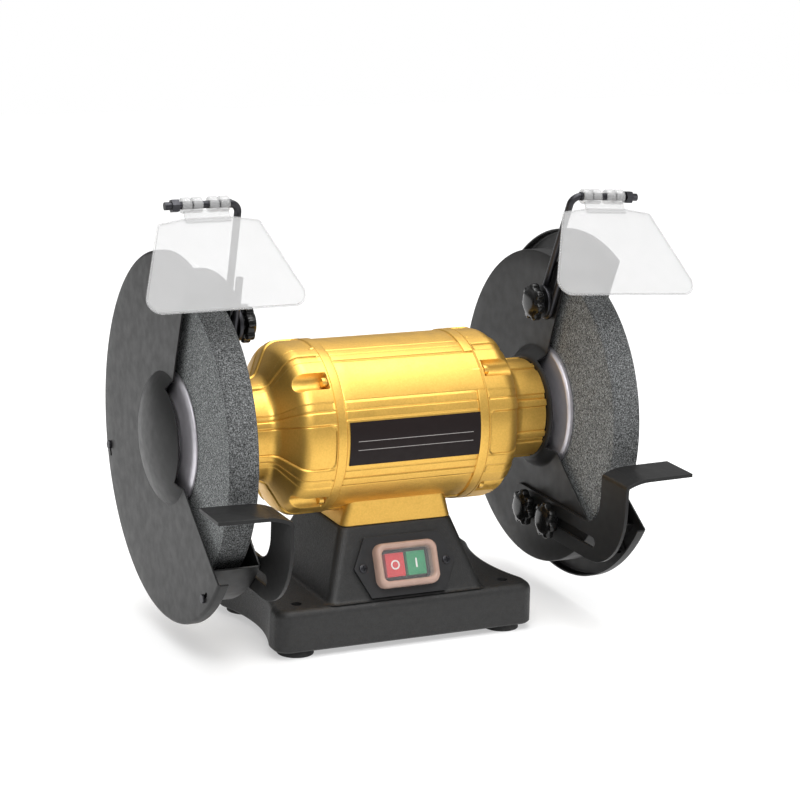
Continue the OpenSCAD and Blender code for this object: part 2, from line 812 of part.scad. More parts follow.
// The axis of the turned-out rod, with the shield hanging from it.
module on_hinge(side) {
    on_arm(side) translate([rod_x + rod_bend, leg_w, rod_rise - rod_bend])
        rotate([0, rod_droop[side], 0]) translate([-rod_start_x, 0, rod_bend])
            children();
}

module shield_clamp(side) {
    block_w = leg_gap - rod_d - 2 * gap;
    color("#2a2b2d") on_arm(side) difference() {
        union() {
            translate([clamp_in_x - eps, -block_w / 2, -4.5])
                cube([disc_x - gap - clamp_in_x, block_w, 16]);
            bar_x(clamp_in_x - clamp_plate_t, clamp_plate_t, 14);
        }
        bar_x(clamp_in_x - 5, 20, stud_r + run);
    }
}

module shield_plate_outline() {
    corner = 12;
    hull() {
        translate([-shield_top_half, -shield_shoulder - 1]) square([2 * shield_top_half, 1]);
        translate([-shield_neck_half, -shield_shoulder]) square([2 * shield_neck_half, shield_roof]);
        for (s = [-1, 1]) translate([s * (shield_low_half - corner - 3), -shield_low + corner])
            circle(r = corner, $fn = 32);
    }
    translate([-shield_neck_half, -shield_shoulder - 1])
        square([2 * shield_neck_half, shield_shoulder - 4]);
}

module eye_shield(side) {
    tilt = shield_tilt + arm_lean[side];
    bore_r = rod_r + gap;
    color("#e6eef2", 0.35) on_hinge(side) translate([shield_x, 0, 0])
        rotate([-tilt, 0, 0]) difference() {
            union() {
                rotate([90, 0, 0]) translate([0, 0, -shield_t / 2]) linear_extrude(shield_t)
                    shield_plate_outline();
                for (i = [-1.5, -0.5, 0.5, 1.5]) bar_x(i * 10.5 - 3.5, 7, knuckle_r);
            }
            bar_x(-40, 80, bore_r);
        }
}

module shield_rod_nut(side) {
    color("#26272a") on_hinge(side) difference() {
        union() {
            bar_x(rod_end_x - 6, 6, 5.5, $fn = 6);
            bar_x(rod_end_x, 5.5, 3.2);
        }
        bar_x(rod_end_x - 7, 7.2, rod_r + run);
    }
}

base();
base_plate();
base_plate_screws();
rubber_feet();
terminal_block();
cable_gland();
switch_plate();
switch_body();
switch_cover();
switch_screws();
button_on();
button_off();
motor_housing();
end_bell(LEFT);  // end_bell_left
end_bell(RIGHT);  // end_bell_right
bell_screws();
saddle_bolts();
name_plate();
stator_core();
stator_windings();
rotor();
shaft();
bearing(LEFT);  // bearing_left
bearing(RIGHT);  // bearing_right
wave_washer();
guard_shell(LEFT);  // guard_shell_left
guard_shell(RIGHT);  // guard_shell_right
guard_cover(LEFT);  // guard_cover_left
guard_cover(RIGHT);  // guard_cover_right
cover_screws(LEFT);  // cover_screws_left
cover_screws(RIGHT);  // cover_screws_right
guard_screws();
guard_studs(LEFT);  // guard_studs_left
guard_studs(RIGHT);  // guard_studs_right
wheel(LEFT);  // wheel_left
wheel(RIGHT);  // wheel_right
inner_flange(LEFT);  // inner_flange_left
inner_flange(RIGHT);  // inner_flange_right
outer_flange(LEFT);  // outer_flange_left
outer_flange(RIGHT);  // outer_flange_right
blotters();
arbor_nut(LEFT);  // arbor_nut_left
arbor_nut(RIGHT);  // arbor_nut_right
tool_rest(LEFT);  // tool_rest_left
tool_rest(RIGHT);  // tool_rest_right
rest_knob(LEFT, rest_bolts[0]);  // rest_knob_left_rear
rest_knob(LEFT, rest_bolts[1]);  // rest_knob_left_front
rest_knob(RIGHT, rest_bolts[0]);  // rest_knob_right_rear
rest_knob(RIGHT, rest_bolts[1]);  // rest_knob_right_front
shield_arm(LEFT);  // shield_arm_left
shield_arm(RIGHT);  // shield_arm_right
shield_clamp(LEFT);  // shield_clamp_left
shield_clamp(RIGHT);  // shield_clamp_right
shield_knob(LEFT);  // shield_knob_left
shield_knob(RIGHT);  // shield_knob_right
eye_shield(LEFT);  // eye_shield_left
eye_shield(RIGHT);  // eye_shield_right
shield_rod_nut(LEFT);  // shield_rod_nut_left
shield_rod_nut(RIGHT);  // shield_rod_nut_right
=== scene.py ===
"""Looks for the bench grinder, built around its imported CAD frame."""

import json
import math

import bmesh
import bpy
import numpy as np
from mathutils import Matrix, Vector


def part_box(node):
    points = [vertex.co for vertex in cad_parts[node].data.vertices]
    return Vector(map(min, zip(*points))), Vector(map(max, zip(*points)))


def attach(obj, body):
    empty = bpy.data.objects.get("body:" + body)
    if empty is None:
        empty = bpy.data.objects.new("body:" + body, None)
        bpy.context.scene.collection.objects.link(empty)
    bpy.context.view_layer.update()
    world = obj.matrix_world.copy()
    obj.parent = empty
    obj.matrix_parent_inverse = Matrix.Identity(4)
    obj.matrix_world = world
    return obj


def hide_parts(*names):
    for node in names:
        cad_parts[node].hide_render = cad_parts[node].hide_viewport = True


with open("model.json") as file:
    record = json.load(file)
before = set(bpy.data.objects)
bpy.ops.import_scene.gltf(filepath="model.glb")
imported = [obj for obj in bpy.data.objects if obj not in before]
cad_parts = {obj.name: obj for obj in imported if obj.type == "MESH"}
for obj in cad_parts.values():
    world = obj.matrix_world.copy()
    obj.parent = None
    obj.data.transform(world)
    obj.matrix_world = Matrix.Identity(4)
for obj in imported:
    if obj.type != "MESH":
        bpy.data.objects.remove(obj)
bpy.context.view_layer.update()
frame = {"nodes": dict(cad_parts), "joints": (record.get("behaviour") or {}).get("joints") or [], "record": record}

MM = 0.001
SIDES = {"left": -1, "right": 1}
JOINTS = {joint["name"]: joint for joint in frame["joints"]}


# ---- sizes read from the frame, in millimetres ----

def low(node):
    return np.array(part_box(node)[0]) / MM


def high(node):
    return np.array(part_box(node)[1]) / MM


def anchor(joint):
    return np.array(JOINTS[joint]["pos_m"]) / MM


SPINDLE_Z = anchor("spindle_spin")[2]
BARREL_HALF = high("motor_housing")[0]
BARREL_R = high("motor_housing")[2] - SPINDLE_Z
NECK_X = high("end_bell_right")[0]
WHEEL_R = high("wheel_right")[2] - SPINDLE_Z
WHEEL_X = (low("wheel_right")[0], high("wheel_right")[0])
COVER_R = SPINDLE_Z - low("guard_cover_right")[2]
COVER_TIP_X = high("guard_cover_right")[0]
BASE_TOP = high("base")[2]
BASE_LOW = low("base")[2]
BASE_HALF = high("base")[0]
BASE_DEPTH = high("base")[1]

# ---- sizes of the finer shapes, in millimetres; angles in degrees, measured upwards from the front ----

CASTING_WALL = 6       # barrel and bells
SEAM = 0.05            # gap between the barrel and a bell
BAND_IN = 60.5         # where the barrel's raised end bands begin
WIDE_PANEL = (30, 60.5)  # the one panel that runs on across the right-hand band
RIB_AT = (15, 21.4, 27.5)  # steps between the barrel's ribs, from the middle of a pocket
FIRST_GROOVE_AT = 15.4
POCKET_R = 8           # scoop over each bell screw
POCKET_DEEP = 66       # radius of the scoop's floor
BELL_R = BARREL_R + 0.5
NAME_PLATE = (-13.5, 15.5)

SHEET = 1.5            # the guards' steel
DISC_X = 150.5         # the inner disc's motor side
COVER_DOME = 15
COVER_X = COVER_TIP_X - COVER_DOME
RIM_DEPTH = 9          # the cover's turned-in rim
SHELL_R = 137
DOME_R = 55
LOBE_R = 47.5          # the discs stay whole inside this radius
LUG_R = 143.5
LUG_ANGLES = (83, -49, 197)
SHELL_OPENING = (-36, 71)
COVER_OPENING = {"left": (-35, 72), "right": (-31.5, 66)}

FLANGE_TOP = 42        # the foot flange's upper face
PEDESTAL_LOW = (72, 70.4)  # half the pedestal's length and width on the flange
PEDESTAL_HIGH = (51.5, 45)
BOLT_HALF = (96, 57)   # half the spacing of the bench bolts
BOLT_HOLE_R = 4.5

FACE_FOOT = (-70, 43)  # Y and Z at the foot of the pedestal's front face
FACE_HEAD = (-45, 100)
FACE_LEAN = math.atan((FACE_HEAD[0] - FACE_FOOT[0]) / (FACE_HEAD[1] - FACE_FOOT[1]))
SWITCH_UP = 26         # the switch's middle, up the slope
SWITCH_PLATE = 3
SWITCH_SCREW_X = 38.5

SHIELD_TILT = 39.5     # from upright
SHIELD_LOW = 94        # the sheet's lower edge, below its rod
SHIELD_X = 176


# ---- meshes ----

def new_piece(name, points, faces, sharp=32):
    """A mesh in millimetres, welded, with its normals outwards and its creases sharp."""
    mesh = bpy.data.meshes.new(name)
    mesh.from_pydata((np.asarray(points, float) * MM).tolist(), [], faces)
    shape = bmesh.new()
    shape.from_mesh(mesh)
    bmesh.ops.remove_doubles(shape, verts=shape.verts, dist=2e-6)
    bmesh.ops.dissolve_degenerate(shape, edges=shape.edges, dist=1e-7)
    bmesh.ops.recalc_face_normals(shape, faces=shape.faces)
    shape.to_mesh(mesh)
    shape.free()
    mesh.shade_smooth()
    mesh.set_sharp_from_angle(angle=math.radians(sharp))
    piece = bpy.data.objects.new(name, mesh)
    bpy.context.scene.collection.objects.link(piece)
    return piece


def grid_faces(rows, columns, close_rows, close_columns):
    """Quads between neighbouring points of a grid that may close on itself."""
    faces = []
    for i in range(rows if close_rows else rows - 1):
        for j in range(columns if close_columns else columns - 1):
            i2, j2 = (i + 1) % rows, (j + 1) % columns
            faces.append((i * columns + j, i * columns + j2, i2 * columns + j2, i2 * columns + j))
    return faces


def around_spindle(x, radius, angle):
    """Points at a radius and an angle measured upwards from the front."""
    x, radius, angle = np.broadcast_arrays(x, radius, angle)
    points = np.stack([x, -radius * np.cos(angle), SPINDLE_Z + radius * np.sin(angle)], -1)
    return points.reshape(-1, 3)


def turned(name, outline, steps, relief=None, sharp=32):
    """Revolves a closed outline of (x, radius); relief(x, radius, angle) reshapes its points."""
    angle = np.linspace(0, 2 * math.pi, steps, endpoint=False)[None, :]
    outline = np.array(outline, float)
    x, radius = outline[:, 0:1], outline[:, 1:2]
    if relief:
        x, radius = relief(x, radius, angle)
    points = around_spindle(x, radius, angle)
    return new_piece(name, points, grid_faces(len(outline), steps, True, True), sharp)


def arc(centre, radius, start, end, steps):
    """Points on an arc between two angles in degrees."""
    angles = np.radians(np.linspace(start, end, steps + 1))
    return [(centre[0] + radius * math.cos(a), centre[1] + radius * math.sin(a)) for a in angles]


def stretch(start, end, steps):
    """Evenly spaced points on a straight line, without its end."""
    return [tuple(np.array(start) + (np.array(end) - start) * i / steps) for i in range(steps)]


def rounded_rect(width, height, radius, steps=8):
    points = []
    for k, (sx, sy) in enumerate([(1, 1), (-1, 1), (-1, -1), (1, -1)]):
        centre = (sx * (width / 2 - radius), sy * (height / 2 - radius))
        points += arc(centre, radius, 90 * k, 90 * k + 90, steps)
    return points


def circle(radius, steps=48):
    angles = np.linspace(0, 2 * math.pi, steps, endpoint=False)
    return [(radius * math.cos(a), radius * math.sin(a)) for a in angles]


def resampled(outline, spacing):
    """A closed outline with points along its straight sides as well, about spacing apart."""
    dense = []
    for (x1, y1), (x2, y2) in zip(outline, outline[1:] + outline[:1]):
        steps = max(1, int(math.hypot(x2 - x1, y2 - y1) / spacing))
        dense += [(x1 + (x2 - x1) * i / steps, y1 + (y2 - y1) * i / steps) for i in range(steps)]
    return dense


def capped_faces(rows, columns):
    """The sides between stacked rings, and the two rings that close the stack."""
    last = (rows - 1) * columns
    caps = [tuple(range(columns)), tuple(range(last, last + columns))]
    return grid_faces(rows, columns, False, True) + caps


def lofted(name, rings, place=None, cap=True, sharp=32):
    """Joins rings of the same number of points; each is a list of (x, y) and a height."""
    points = [(x, y, z) for ring, z in rings for x, y in ring]
    columns = len(rings[0][0])
    faces = capped_faces(len(rings), columns) if cap else grid_faces(len(rings), columns, True, True)
    if place is not None:
        points = [place @ Vector(p) for p in points]
    return new_piece(name, points, faces, sharp)


def mirrored(piece, side):
    """Turns a piece drawn for the right-hand side over to the left."""
    if side == "left":
        piece.data.transform(Matrix.Scale(-1, 4, (1, 0, 0)))
        piece.data.flip_normals()
    return piece


def soften(piece, width):
    """Rounds a piece's edges a little, as a moulded, cast or cut edge is."""
    weld = piece.modifiers.new("weld", "WELD")
    weld.merge_threshold = 0.00001
    bevel = piece.modifiers.new("bevel", "BEVEL")
    bevel.width = width * MM
    bevel.segments = 2
    bevel.limit_method = "ANGLE"
    bevel.angle_limit = math.radians(35)
    bevel.harden_normals = True
    return piece


def cut(piece, cutters):
    """Takes the cutters away from a piece and removes them."""
    for cutter in cutters:
        boolean = piece.modifiers.new("cut", "BOOLEAN")
        boolean.operation = "DIFFERENCE"
        boolean.solver = "EXACT"
        boolean.object = cutter
    bpy.context.view_layer.update()
    graph = bpy.context.evaluated_depsgraph_get()
    mesh = bpy.data.meshes.new_from_object(piece.evaluated_get(graph))
    piece.modifiers.clear()
    piece.data = mesh
    mesh.shade_smooth()
    mesh.set_sharp_from_angle(angle=math.radians(32))
    for cutter in cutters:
        bpy.data.objects.remove(cutter)
    return piece


def cylinder(name, x, y, height, radius):
    """A plain upright cylinder that stands on the bench."""
    return lofted(name, [(circle(radius), 0), (circle(radius), height)], Matrix.Translation((x, y, 0)))


# ---- materials ----

class Look:
    """A principled material whose colour, roughness and relief vary over the surface."""

    def __init__(self, name, colour, roughness, metallic=0.0, alpha=1.0, coat=0.0, ior=1.5):
        self.material = bpy.data.materials.new(name)
        self.material.use_nodes = True
        self.tree = self.material.node_tree
        self.shader = self.tree.nodes["Principled BSDF"]
        for socket, value in {"Base Color": (*colour, 1), "Roughness": roughness,
                              "Metallic": metallic, "Alpha": alpha, "Coat Weight": coat,
                              "Coat Roughness": 0.12, "IOR": ior}.items():
            self.shader.inputs[socket].default_value = value
        self.colour = colour
        self.height = None
        self.place = self.node("ShaderNodeTexCoord").outputs["Object"]

    def node(self, kind, **values):
        made = self.tree.nodes.new(kind)
        for name, value in values.items():
            setattr(made, name, value)
        return made

    def noise(self, size, detail=2.0, roughness=0.5, stretch=(1, 1, 1)):
        """Noise whose features are about size millimetres wide."""
        mapping = self.node("ShaderNodeMapping")
        mapping.inputs["Scale"].default_value = stretch
        self.tree.links.new(self.place, mapping.inputs["Vector"])
        noise = self.node("ShaderNodeTexNoise")
        noise.inputs["Scale"].default_value = 1 / (size * MM)
        noise.inputs["Detail"].default_value = detail
        noise.inputs["Roughness"].default_value = roughness
        self.tree.links.new(mapping.outputs["Vector"], noise.inputs["Vector"])
        return noise.outputs["Fac"]

    def ramp(self, source, stops):
        """Maps a value to colours at the given positions."""
        ramp = self.node("ShaderNodeValToRGB").color_ramp
        for element, (position, colour) in zip(ramp.elements, (stops[0], stops[-1])):
            element.position = position
            element.color = (*colour, 1)
        for position, colour in stops[1:-1]:
            ramp.elements.new(position).color = (*colour, 1)
        node = self.tree.nodes[-1]
        self.tree.links.new(source, node.inputs["Fac"])
        return node.outputs["Color"]

    def shade(self, source, amount, tint=(1, 1, 1)):
        """Varies the base colour by a share of itself, with the pale parts tinted."""
        dark = [c * (1 - amount) for c in self.colour]
        light = [min(1, c * (1 + amount) * t) for c, t in zip(self.colour, tint)]
        colour = self.ramp(source, [(0.25, dark), (0.75, light)])
        self.tree.links.new(colour, self.shader.inputs["Base Color"])

    def rough(self, source, lowest, highest):
        """Varies the roughness between two values."""
        spread = self.node("ShaderNodeMapRange")
        spread.inputs["From Min"].default_value = 0.3
        spread.inputs["From Max"].default_value = 0.7
        spread.inputs["To Min"].default_value = lowest
        spread.inputs["To Max"].default_value = highest
        self.tree.links.new(source, spread.inputs["Value"])
        self.tree.links.new(spread.outputs["Result"], self.shader.inputs["Roughness"])

    def bump(self, source, depth, strength=1.0):
        """Adds relief of a depth in millimetres; further calls add to it."""
        bump = self.node("ShaderNodeBump")
        bump.inputs["Distance"].default_value = depth * MM
        bump.inputs["Strength"].default_value = strength
        self.tree.links.new(source, bump.inputs["Height"])
        if self.height:
            self.tree.links.new(self.height, bump.inputs["Normal"])
        self.height = bump.outputs["Normal"]
        self.tree.links.new(self.height, self.shader.inputs["Normal"])

    def rings(self, pitch):
        """Turning marks about the spindle, pitch millimetres apart."""
        offset = self.node("ShaderNodeVectorMath", operation="SUBTRACT")
        offset.inputs[1].default_value = (0, 0, SPINDLE_Z * MM)
        flat = self.node("ShaderNodeVectorMath", operation="MULTIPLY")
        flat.inputs[1].default_value = (0, 1, 1)
        length = self.node("ShaderNodeVectorMath", operation="LENGTH")
        scale = self.node("ShaderNodeMath", operation="MULTIPLY")
        scale.inputs[1].default_value = 2 * math.pi / (pitch * MM)
        wave = self.node("ShaderNodeMath", operation="SINE")
        self.tree.links.new(self.place, offset.inputs[0])
        self.tree.links.new(offset.outputs["Vector"], flat.inputs[0])
        self.tree.links.new(flat.outputs["Vector"], length.inputs[0])
        self.tree.links.new(length.outputs["Value"], scale.inputs[0])
        self.tree.links.new(scale.outputs["Value"], wave.inputs[0])
        return wave.outputs["Value"]


def gold_look():
    look = Look("gold_enamel", (0.75, 0.45, 0.095), 0.41, metallic=0.88)
    look.shade(look.noise(1.6, 2), 0.07, (1, 1.02, 1.1))
    look.rough(look.noise(14, 3), 0.36, 0.46)
    look.bump(look.noise(9, 0), 0.04, 0.6)
    return look


def cast_look():
    look = Look("cast_enamel", (0.014, 0.014, 0.014), 0.48, ior=1.48)
    look.shade(look.noise(5, 3), 0.25)
    look.rough(look.noise(1.2, 2), 0.42, 0.6)
    look.bump(look.noise(1.3, 3, 0.6), 0.32)
    look.bump(look.noise(30, 2), 0.5, 0.4)
    return look


def sheet_look():
    look = Look("black_powder_coat", (0.010, 0.010, 0.010), 0.38, ior=1.34)
    look.shade(look.noise(40, 3), 0.12)
    look.rough(look.noise(9, 3), 0.38, 0.47)
    look.bump(look.noise(0.8, 2), 0.012)
    look.bump(look.noise(60, 1), 0.25, 0.4)
    return look


def abrasive_look(name, tint):
    """Pale and dark grains in a grey bond."""
    look = Look(name, tint, 0.9, ior=1.15)
    grain = look.noise(1.1, 2, 0.7)
    brightness = [(0.36, 0.25), (0.47, 0.75), (0.54, 1.1), (0.68, 2.5)]
    colour = look.ramp(grain, [(at, [min(1, c * share) for c in tint]) for at, share in brightness])
    look.tree.links.new(colour, look.shader.inputs["Base Color"])
    look.bump(grain, 0.2)
    look.bump(look.noise(2.5, 2), 0.2)
    return look


def flange_look():
    look = Look("bright_flange", (0.62, 0.60, 0.64), 0.45, metallic=0.75)
    look.shade(look.noise(6, 2), 0.05)
    look.rough(look.noise(3, 3), 0.4, 0.5)
    look.bump(look.rings(1.6), 0.01, 0.5)
    return look


def metal_look(name, colour, lowest, highest):
    look = Look(name, colour, lowest, metallic=1.0)
    look.shade(look.noise(4, 3), 0.12)
    look.rough(look.noise(2, 3), lowest, highest)
    look.bump(look.noise(0.5, 2, stretch=(1, 8, 8)), 0.01)
    return look


def plastic_look(name, colour, roughness, grain=0.6, depth=0.01, alpha=1.0, ior=1.5):
    look = Look(name, colour, roughness, alpha=alpha, ior=ior)
    look.shade(look.noise(8, 3), 0.08)
    look.rough(look.noise(5, 2), roughness * 0.85, roughness * 1.15)
    look.bump(look.noise(grain, 2), depth)
    return look


def clear_look(name, alpha):
    look = Look(name, (0.5, 0.5, 0.5), 0.1, alpha=alpha, ior=1.3)
    look.shade(look.noise(25, 2), 0.02)
    look.rough(look.noise(12, 3), 0.05, 0.12)
    look.bump(look.noise(35, 1), 0.12, 0.3)
    return look


def wound_look():
    look = Look("varnished_winding", (0.42, 0.16, 0.05), 0.35, metallic=0.4, coat=0.3)
    look.shade(look.noise(0.9, 2, stretch=(6, 1, 1)), 0.35)
    look.bump(look.noise(0.9, 2, stretch=(6, 1, 1)), 0.3)
    return look


def laminated_look():
    look = Look("laminated_steel", (0.30, 0.31, 0.33), 0.45, metallic=0.8)
    look.shade(look.noise(0.6, 1, stretch=(1, 0.02, 0.02)), 0.3)
    look.bump(look.noise(0.6, 1, stretch=(1, 0.02, 0.02)), 0.08)
    return look


LOOKS = {
    "cast": cast_look(),
    "sheet_black": sheet_look(),
    "gold": gold_look(),
    "rubber": plastic_look("rubber", (0.012, 0.012, 0.012), 0.7, 1.0, 0.05),
    "steel": metal_look("turned_steel", (0.6, 0.6, 0.62), 0.25, 0.38),
    "zinc": metal_look("zinc_plate", (0.56, 0.57, 0.6), 0.3, 0.45),
    "black_screw": metal_look("black_oxide", (0.05, 0.05, 0.055), 0.35, 0.5),
    "flange": flange_look(),
    "abrasive": abrasive_look("grey_abrasive_side", (0.165, 0.172, 0.172)),
    "paper": plastic_look("blotting_paper", (0.66, 0.62, 0.5), 0.9, 0.8, 0.05),
    "plate": plastic_look("name_plate", (0.008, 0.004, 0.004), 0.5, 1.5, 0.004, ior=1.3),
    "plastic": plastic_look("black_plastic", (0.012, 0.012, 0.013), 0.45, 0.5, 0.02),
    "knob": plastic_look("phenolic", (0.005, 0.005, 0.005), 0.2, 6.0, 0.02, ior=1.4),
    "clear": clear_look("clear_sheet", 0.46),
    "boot": plastic_look("vinyl_boot", (0.56, 0.38, 0.31), 0.22, 3.0, 0.02, alpha=0.7),
    "red": plastic_look("red_button", (0.62, 0.03, 0.04), 0.35),
    "green": plastic_look("green_button", (0.01, 0.27, 0.11), 0.35),
    "lamination": laminated_look(),
    "copper": wound_look(),
    "ceramic": plastic_look("cream_moulding", (0.72, 0.66, 0.52), 0.4),
}
CLEAR_EDGE = clear_look("clear_edge", 0.4)
# Painted shade: a near-black look that hardly reflects, for the dark inside of the cover's screw slots.
SLOT_SHADOW = plastic_look("slot_shadow", (0.002, 0.002, 0.002), 0.9, ior=1.05)
WHEEL_RIM = abrasive_look("grey_abrasive_rim", (0.102, 0.105, 0.106))


def dress(piece, look):
    piece.data.materials.clear()
    piece.data.materials.append(look.material)


def add(piece, body, slot, look=None, replaces=()):
    """Dresses a new piece in the given look or else its slot's, hangs it on its body and hides the CAD nodes that
    it stands for.
    """
    dress(piece, look or LOOKS[slot])
    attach(piece, body)
    if replaces:
        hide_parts(*replaces)


# ---- motor ----

def step(distance, width=0.9):
    """Rises from 0 to 1 across an edge that is width millimetres wide."""
    t = np.clip(distance / width + 0.5, 0, 1)
    return t * t * (3 - 2 * t)


def from_pocket(angle):
    """Degrees from the nearest screw pocket, which repeats every quarter turn."""
    return np.abs(np.degrees(angle) % 90 - 45)


def panel(end_distance, edge_distance, corner):
    """1 inside a panel with rounded corners, from the distances past its end and its edge."""
    a, b = end_distance + corner, edge_distance + corner
    outside = np.hypot(np.maximum(a, 0), np.maximum(b, 0)) + np.minimum(np.maximum(a, b), 0) - corner
    return step(-outside)


def groove(distance, width=0.7, depth=0.8):
    """A narrow dark line where two levels of the casting meet."""
    return -depth * np.exp(-(distance / width) ** 2)


def barrel_relief(x, radius, angle):
    """Panels and ribs along the barrel between its two raised bands."""
    off = from_pocket(angle) + 0 * x
    arc_mm = math.radians(1) * BARREL_R
    around = np.degrees(angle) % 360
    wide = (around > WIDE_PANEL[0]) & (around < WIDE_PANEL[1]) & (x > 0)
    band = np.where(wide, step(np.abs(x) - BARREL_HALF + 0.4), step(np.abs(x) - BAND_IN))
    lowest, middle_rib, highest = [(off - at) * arc_mm for at in RIB_AT]
    ribs = -1.0 * step(-lowest) - 0.45 * step(middle_rib) - 0.35 * step(highest)
    ribs += groove((off - FIRST_GROOVE_AT) * arc_mm)
    ribs += groove(middle_rib, 0.6, 0.6) + groove(highest, 0.6, 0.4)
    ends = np.where(wide, 0, groove(np.abs(x) - BAND_IN, 0.5, 0.7))
    depth = ribs * (1 - band) + 0.3 * band + ends
    skin = radius > BARREL_R - 1
    return x + 0 * angle, radius + np.where(skin, depth, 0)


def barrel():
    """The barrel; its points crowd together where the relief is steep."""
    band_edge = [BAND_IN + d for d in (-1.2, -0.8, -0.5, -0.25, 0, 0.25, 0.5, 0.8, 1.2)]
    end = [BARREL_HALF - d for d in (1.4, 1.1, 0.8, 0.4, 0)]
    xs = [-x for x in end[::-1]] + [-x for x in band_edge[::-1]]
    xs += list(np.linspace(-50, 50, 11)) + band_edge + end
    chamfer = 0.4
    outline = [(x, BARREL_R - (chamfer if abs(x) == BARREL_HALF else 0)) for x in xs]
    inner = BARREL_R - CASTING_WALL
    outline += [(BARREL_HALF, inner), (-BARREL_HALF, inner)]
    piece = turned("barrel", outline, 1440, barrel_relief, 40)
    add(piece, "stand", "gold", replaces=["motor_housing"])


def bell_outline():
    """The outer skin of a bell, from its seam to the end of its neck."""
    shoulder_x, shoulder_r, slope, fillet = 87, 15, 63.4, 9
    neck_r = 43.5
    neck_in = 116.8
    start = (BELL_R - shoulder_r + shoulder_r * math.cos(math.radians(slope)),
             shoulder_x + shoulder_r * math.sin(math.radians(slope)))
    end = (neck_r + fillet - fillet * math.cos(math.radians(slope)),
           neck_in - fillet * math.sin(math.radians(slope)))
    skin = [(BELL_R - 0.5, BARREL_HALF + SEAM), (BELL_R, BARREL_HALF + 0.5)]
    skin += [(BELL_R, x) for x in np.linspace(BARREL_HALF + 1, shoulder_x - 0.8, 22)]
    skin += arc((BELL_R - shoulder_r, shoulder_x), shoulder_r, 0, slope, 20)[:-1]
    skin += stretch(start, end, 20)
    skin += arc((neck_r + fillet, neck_in), fillet, 180 + slope, 180, 10)
    skin += [(neck_r, x) for x in np.linspace(neck_in + 1, NECK_X - 0.6, 12)]
    skin += [(neck_r - 0.6, NECK_X)]
    return [(x, r) for r, x in skin]


SKIN_POINTS = len(bell_outline())


def bell_relief(x, radius, angle):
    """Ribs and panels that run over the shoulder, and the scooped pockets for the screws."""
    off = from_pocket(angle) + 0 * x
    skin = slice(0, SKIN_POINTS)
    run = np.gradient(x[skin, 0])
    rise = np.gradient(radius[skin, 0])
    length = np.hypot(run, rise)
    normal_x, normal_r = -rise / length, run / length
    arc_mm = math.radians(1) * np.maximum(radius, 20)
    on_neck = np.clip((x - 112) / 10, 0, 1)
    panel_x = BARREL_HALF + 1.5
    wide_edge, rib_middle, rib_edge = 30, 18.4, RIB_AT[1]
    depth = -1.2 * panel(panel_x - x, (wide_edge - off) * arc_mm, 6)
    depth -= 0.6 * panel(panel_x - x, (np.abs(off - rib_middle) - 3) * arc_mm, 1) * (1 + on_neck)
    lines = groove((off - rib_edge) * arc_mm, 0.8, 0.8) + groove((off - wide_edge) * arc_mm, 0.7, 0.6)
    depth += lines * step(x - panel_x)
    new_x, new_r = x + 0 * angle, radius + 0 * angle
    new_x[skin] += normal_x[:, None] * depth[skin]
    new_r[skin] += normal_r[:, None] * depth[skin]
    side = np.radians(off) * new_r
    floor = POCKET_DEEP + POCKET_R - np.sqrt(np.maximum(POCKET_R ** 2 - side ** 2, 0))
    pocket = step(x - BARREL_HALF - 2.6, 0.5) * (side < POCKET_R)
    scooped = np.minimum(new_r, floor)
    new_r[skin] = (new_r + (scooped - new_r) * pocket)[skin]
    return new_x, new_r


def bell(side):
    """A bell, with the bearing's seat inside its neck."""
    core = BARREL_R - CASTING_WALL
    bore_r, seat_r, seat_in, seat_out = 17, 33, 112, 132
    outline = bell_outline()
    outline += [(NECK_X, bore_r), (seat_out, bore_r), (seat_out, seat_r), (seat_in, seat_r), (95, 60),
                (BARREL_HALF + 4, core), (BARREL_HALF + SEAM, core)]
    piece = mirrored(turned("bell_" + side, outline, 1080, bell_relief, 40), side)
    add(piece, "stand", "gold", replaces=["end_bell_" + side])


def saddle():
    """The block under the barrel, narrowing upwards and straightening near its top."""
    height, length, width, corner = 28, 102, 90, 7
    top = 132
    rings = [(rounded_rect(length - 1, width - 1, corner - 0.5), BASE_TOP),
             (rounded_rect(length, width, corner), BASE_TOP + 0.6)]
    for z in np.linspace(BASE_TOP, top, 9)[1:]:
        t = (z - BASE_TOP) / height
        flare = 20 * max(0, t - 0.65) ** 2
        rings.append((rounded_rect(length - 14 * t + flare, width - 3 * t, corner), z))
    add(lofted("saddle", rings), "stand", "gold")


def bent_strip(name, inner, outer, x_from, x_to, from_angle, to_angle, steps=24):
    """A sheet bent about the spindle, such as a plate on the barrel."""
    angle = np.radians(np.linspace(from_angle, to_angle, steps + 1))[None, :]
    corners = np.array([(x_from, inner), (x_from, outer), (x_to, outer), (x_to, inner)])
    points = around_spindle(corners[:, 0:1], corners[:, 1:2], angle)
    faces = grid_faces(4, steps + 1, True, False)
    faces += [tuple(i * (steps + 1) for i in range(4)),
              tuple(i * (steps + 1) + steps for i in range(4))]
    return new_piece(name, points, faces)


def name_plate():
    """A blank plate with two thin rules."""
    x_from, x_to = low("name_plate")[0], high("name_plate")[0]
    surface = BARREL_R + 0.05
    plate = bent_strip("name_plate_sheet", BARREL_R - 0.9, surface, x_from, x_to, *NAME_PLATE)
    add(plate, "stand", "plate", replaces=["name_plate"])
    hairline = plastic_look("plate_hairline", (0.35, 0.33, 0.32), 0.4)
    for number, angle in enumerate((-3.2, 2.6)):
        line = bent_strip(f"plate_line_{number}", surface - 0.3, surface + 0.03,
                          x_from + 7, x_to - 8, angle, angle + 0.35, 2)
        add(line, "stand", "plate", hairline)


# ---- wheels and guards ----

